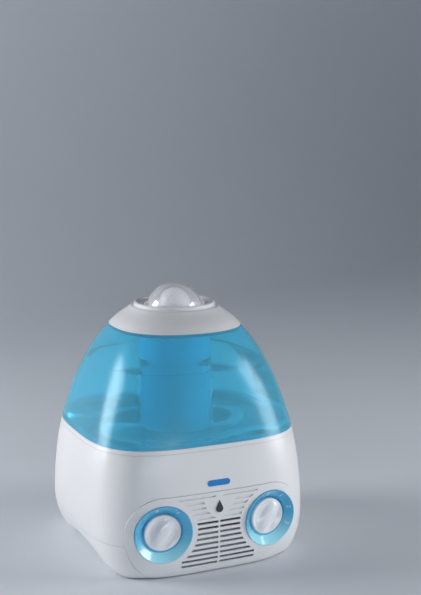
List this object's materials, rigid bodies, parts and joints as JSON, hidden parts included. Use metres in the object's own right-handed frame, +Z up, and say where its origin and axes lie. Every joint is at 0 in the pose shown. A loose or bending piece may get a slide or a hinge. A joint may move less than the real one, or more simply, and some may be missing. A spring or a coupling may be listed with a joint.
{
  "type": "cool mist humidifier",
  "caption": "Free-standing evaporative humidifier: white housing with front grille and dials, lift-off blue water tank, star projector dome on top.",
  "frame": {"origin": "centre of the footprint on the floor, under the feet", "axes": "+Z up, front grille faces -Y, +X to the right as seen from the front"},
  "size_m": [0.289, 0.2786, 0.34],
  "materials": {
    "white_shell": "satin moulded plastic, warm white",
    "inner_plastic": "matte moulded plastic, light grey",
    "tank_blue": "translucent blue moulded plastic",
    "bezel_blue": "translucent blue moulded plastic, glossy",
    "knob_pearl": "pearl white plastic, glossy",
    "emblem_grey": "dark grey inlay",
    "nameplate_blue": "blue inlay",
    "lens_clear": "clear moulded dome",
    "mask_grey": "grey inner dome with small holes",
    "bulb_glass": "frosted bulb",
    "black_plastic": "black moulded plastic",
    "rubber_grey": "soft rubber",
    "steel": "zinc plated steel",
    "wick_paper": "pleated absorbent paper",
    "board_green": "circuit board",
    "pad_felt": "felt pad"
  },
  "bodies": {
    "base": {"lower_housing": "white_shell", "upper_housing": "white_shell", "rim_trim": "white_shell", "nameplate_bar": "nameplate_blue", "tank_deck": "inner_plastic", "valve_post": "inner_plastic", "front_panel": "white_shell", "emblem_droplet": "emblem_grey", "water_tray": "inner_plastic", "wick_filter": "wick_paper", "filter_frame": "inner_plastic", "fan_shroud": "inner_plastic", "fan_motor": "steel", "motor_bracket": "inner_plastic", "motor_screws": "steel", "rear_grille": "white_shell", "cord_gland": "rubber_grey", "transformer": "steel", "circuit_board": "board_green", "scent_guide": "inner_plastic", "heater_plate": "steel", "projector_tower": "inner_plastic", "tower_screws": "steel", "lamp_socket": "black_plastic", "lamp_bulb": "bulb_glass", "star_mask": "mask_grey", "rubber_feet": "rubber_grey", "light_bezel": "bezel_blue", "light_switch": "black_plastic", "fan_bezel": "bezel_blue", "fan_switch": "black_plastic"},
    "light_dial": {"light_knob": "knob_pearl", "light_knob_shaft": "steel"},
    "fan_dial": {"fan_knob": "knob_pearl", "fan_knob_shaft": "steel"},
    "rotor": {"fan_rotor": "black_plastic", "fan_shaft": "steel"},
    "scent_drawer": {"scent_tray": "white_shell", "scent_pad": "pad_felt"},
    "lens": {"projector_lens": "lens_clear", "lens_ring": "mask_grey"},
    "tank": {"tank_shell": "tank_blue", "tank_pan": "tank_blue", "tank_chimney": "tank_blue", "tank_collar": "white_shell", "valve_bridge": "tank_blue"},
    "filler_cap": {"fill_cap": "white_shell", "cap_gasket": "rubber_grey"},
    "valve": {"valve_plunger": "rubber_grey", "valve_spring": "steel"}
  },
  "joints": [
    {"name": "light_dial_turn", "type": "hinge", "parent": "base", "child": "light_dial", "pos_m": [-0.0711, -0.1347, 0.059], "axis": [0.1321, 0.9901, 0.0471], "range_deg": [-50, 0]},
    {"name": "fan_dial_turn", "type": "hinge", "parent": "base", "child": "fan_dial", "pos_m": [0.0711, -0.1347, 0.059], "axis": [-0.1321, 0.9901, 0.0471], "range_deg": [-40, 80]},
    {"name": "fan_spin", "type": "hinge", "parent": "base", "child": "rotor", "pos_m": [0, 0, 0.098], "axis": [0, 1, 0], "continuous": true},
    {"name": "scent_drawer_slide", "type": "slide", "parent": "base", "child": "scent_drawer", "axis": [1, 0, 0], "range_m": [0, 0.035]},
    {"name": "lens_twist", "type": "hinge", "parent": "base", "child": "lens", "pos_m": [0, 0, 0.31], "axis": [0, 0, 1], "range_deg": [0, 30]},
    {"name": "tank_lift", "type": "slide", "parent": "base", "child": "tank", "axis": [0, 0, 1], "range_m": [0, 0.205]},
    {"name": "filler_cap_turn", "type": "hinge", "parent": "tank", "child": "filler_cap", "pos_m": [0, 0.082, 0.14], "axis": [0, 0, 1], "range_deg": [0, 90]},
    {"name": "valve_plunge", "type": "slide", "parent": "tank", "child": "valve", "axis": [0, 0, 1], "range_m": [0, 0.0015], "stiffness_N_per_m": 200, "springref_m": -0.001, "deforming": ["valve_spring"]}
  ]
}
